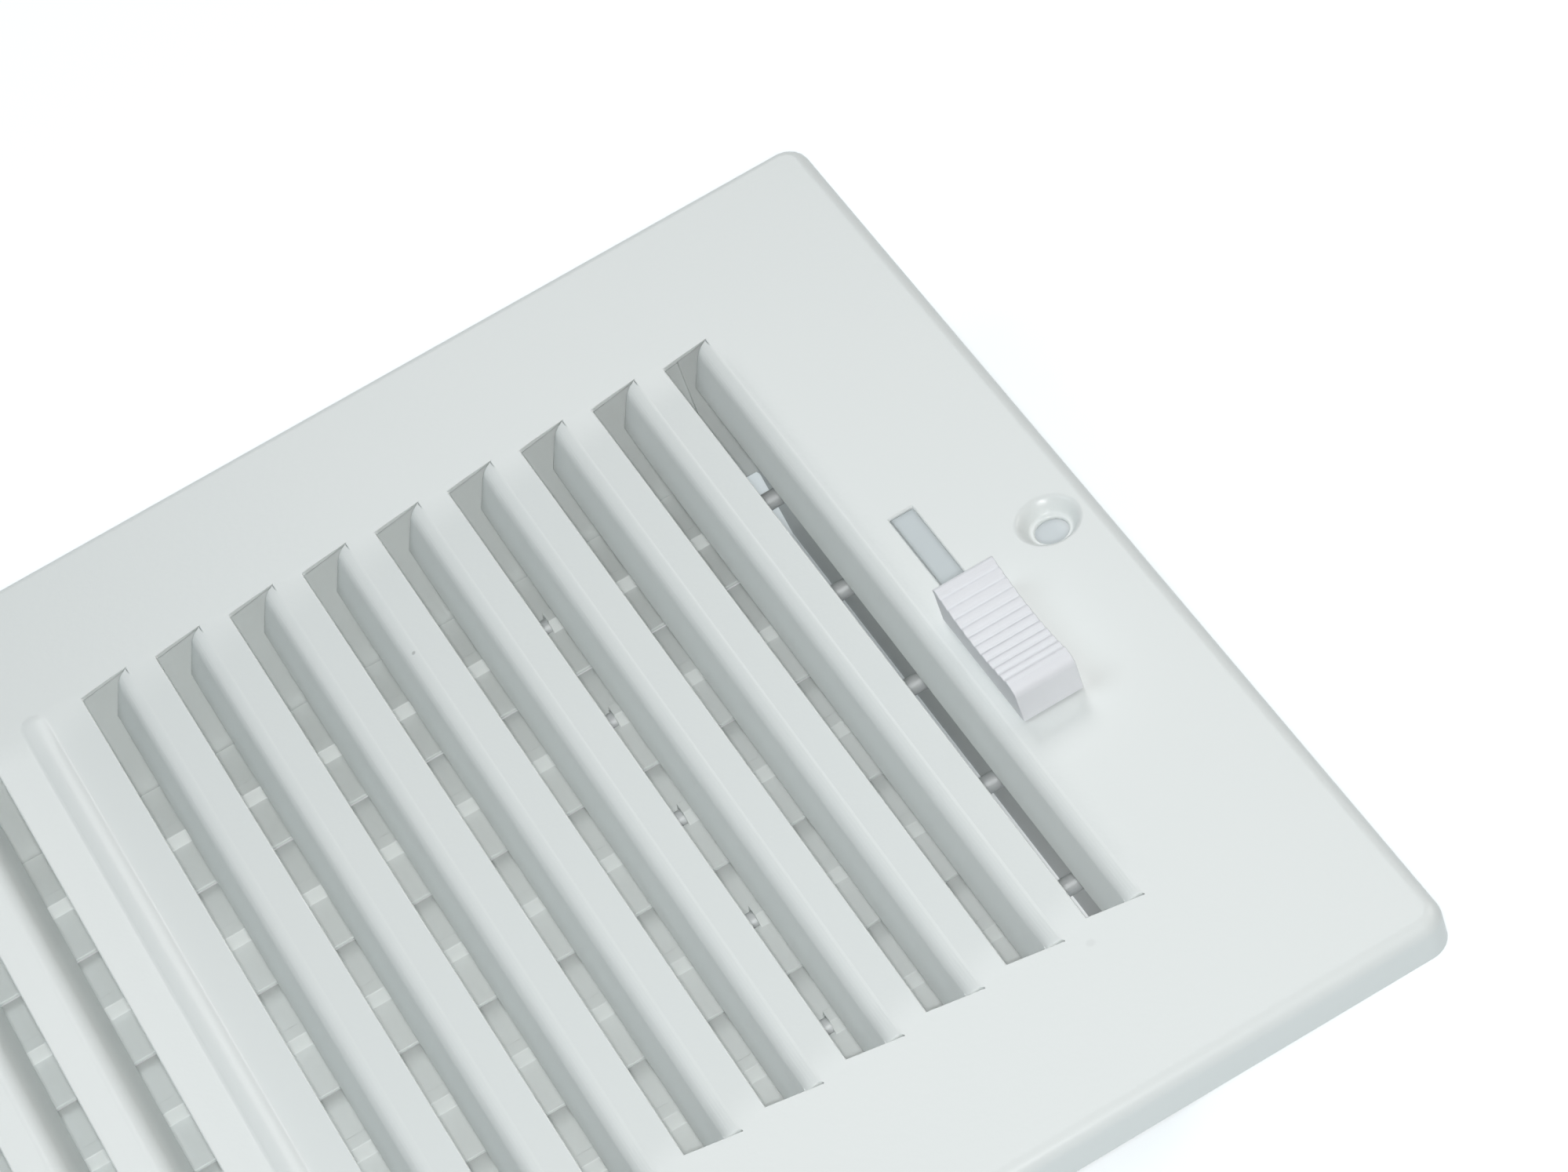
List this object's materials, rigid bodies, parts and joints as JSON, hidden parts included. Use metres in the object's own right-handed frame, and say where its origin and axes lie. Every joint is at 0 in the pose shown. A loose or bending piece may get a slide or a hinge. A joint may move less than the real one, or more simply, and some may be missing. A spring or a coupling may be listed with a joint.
{
  "type": "sidewall register",
  "caption": "Stamped steel two-way wall register: white face with lanced curved fins in two banks, and a linked shutter damper behind it worked by a ribbed sliding lever.",
  "frame": {"origin": "middle of the wall plane, where the rim's back edge meets the wall, on the damper box's centre line", "axes": "+X along the face towards the lever, +Y up the face, +Z out of the wall"},
  "size_m": [0.2984, 0.1968, 0.0519],
  "materials": {
    "white_enamel": "semi-gloss baked enamel",
    "zinc_steel": "bright zinc plate",
    "white_plastic": "moulded satin"
  },
  "bodies": {
    "frame": {"face_plate": "white_enamel", "upper_rail": "white_enamel", "lower_rail": "white_enamel", "left_end_plate": "white_enamel", "right_end_plate": "white_enamel"},
    "lever": {"operating_bar": "zinc_steel", "lever_knob": "white_plastic"},
    "shutter_1": {"blade_1": "white_enamel", "axle_1": "zinc_steel", "crank_1": "zinc_steel"},
    "shutter_2": {"blade_2": "white_enamel", "axle_2": "zinc_steel", "crank_2": "zinc_steel"},
    "shutter_3": {"blade_3": "white_enamel", "axle_3": "zinc_steel", "crank_3": "zinc_steel"},
    "shutter_4": {"blade_4": "white_enamel", "axle_4": "zinc_steel", "crank_4": "zinc_steel"},
    "shutter_5": {"blade_5": "white_enamel", "axle_5": "zinc_steel", "crank_5": "zinc_steel"},
    "shutter_6": {"blade_6": "white_enamel", "axle_6": "zinc_steel", "crank_6": "zinc_steel"}
  },
  "joints": [
    {"name": "lever_slide", "type": "slide", "parent": "frame", "child": "lever", "axis": [0, 1, 0], "range_m": [0, 0.02]},
    {"name": "shutter_1_turn", "type": "hinge", "parent": "frame", "child": "shutter_1", "pos_m": [0, -0.06083, -0.0234], "axis": [-1, 0, 0], "range_deg": [0, 80]},
    {"name": "shutter_2_turn", "type": "hinge", "parent": "frame", "child": "shutter_2", "pos_m": [0, -0.0365, -0.0234], "axis": [-1, 0, 0], "range_deg": [0, 80]},
    {"name": "shutter_3_turn", "type": "hinge", "parent": "frame", "child": "shutter_3", "pos_m": [0, -0.01217, -0.0234], "axis": [-1, 0, 0], "range_deg": [0, 80]},
    {"name": "shutter_4_turn", "type": "hinge", "parent": "frame", "child": "shutter_4", "pos_m": [0, 0.01217, -0.0234], "axis": [-1, 0, 0], "range_deg": [0, 80]},
    {"name": "shutter_5_turn", "type": "hinge", "parent": "frame", "child": "shutter_5", "pos_m": [0, 0.0365, -0.0234], "axis": [-1, 0, 0], "range_deg": [0, 80]},
    {"name": "shutter_6_turn", "type": "hinge", "parent": "frame", "child": "shutter_6", "pos_m": [0, 0.06083, -0.0234], "axis": [-1, 0, 0], "range_deg": [0, 80]}
  ],
  "couplings": [
    {"joint": "shutter_1_turn", "follows": "lever_slide", "rad_per_m": 69.808},
    {"joint": "shutter_2_turn", "follows": "lever_slide", "rad_per_m": 69.808},
    {"joint": "shutter_3_turn", "follows": "lever_slide", "rad_per_m": 69.808},
    {"joint": "shutter_4_turn", "follows": "lever_slide", "rad_per_m": 69.808},
    {"joint": "shutter_5_turn", "follows": "lever_slide", "rad_per_m": 69.808},
    {"joint": "shutter_6_turn", "follows": "lever_slide", "rad_per_m": 69.808}
  ]
}
